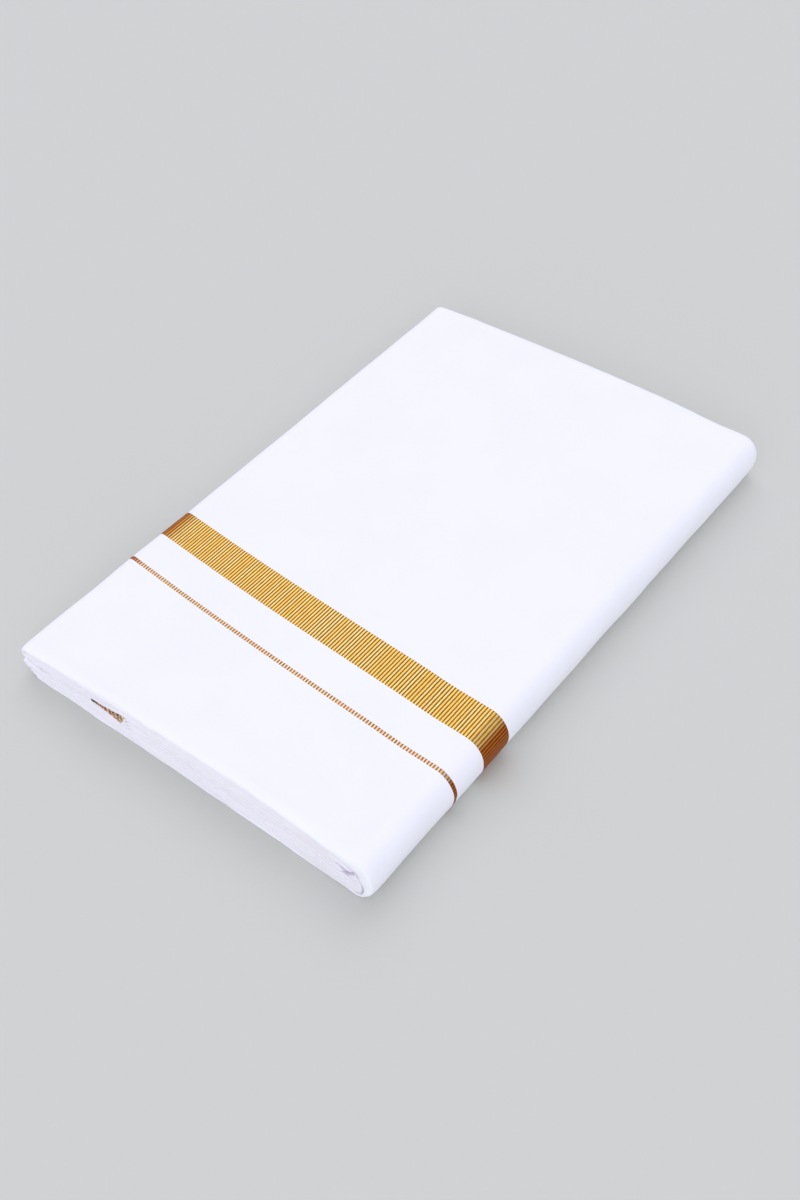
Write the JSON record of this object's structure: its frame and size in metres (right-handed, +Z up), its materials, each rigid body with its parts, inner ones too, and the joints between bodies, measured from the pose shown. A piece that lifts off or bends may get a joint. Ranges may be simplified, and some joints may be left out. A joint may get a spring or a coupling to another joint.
{
  "type": "dhoti cloth",
  "caption": "Folded white cotton dhoti lying flat as a thin pack, with a wide ribbed gold border and a thin gold line running across it and round its spine.",
  "frame": {"origin": "centre of the bounding box at the surface that the pack lies on", "axes": "+Z up from that surface; +Y along the pack from its near end to its far end; +X from the open side to the round spine"},
  "size_m": [0.2406, 0.38, 0.0292],
  "materials": {
    "white_cotton": "bleached plain-weave cotton, soft and matte",
    "inner_cotton": "the same cotton in the shade of its folds",
    "gold_zari": "gold metal thread woven in fine cross ribs, glossy on the ribs",
    "inner_zari": "the same gold thread inside a fold"
  },
  "bodies": {
    "root": {"front_wrap": "white_cotton", "middle_wrap": "white_cotton", "far_wrap": "white_cotton", "hidden_layers": "inner_cotton", "zari_band": "gold_zari", "zari_line": "gold_zari", "inner_zari": "inner_zari"}
  },
  "joints": []
}
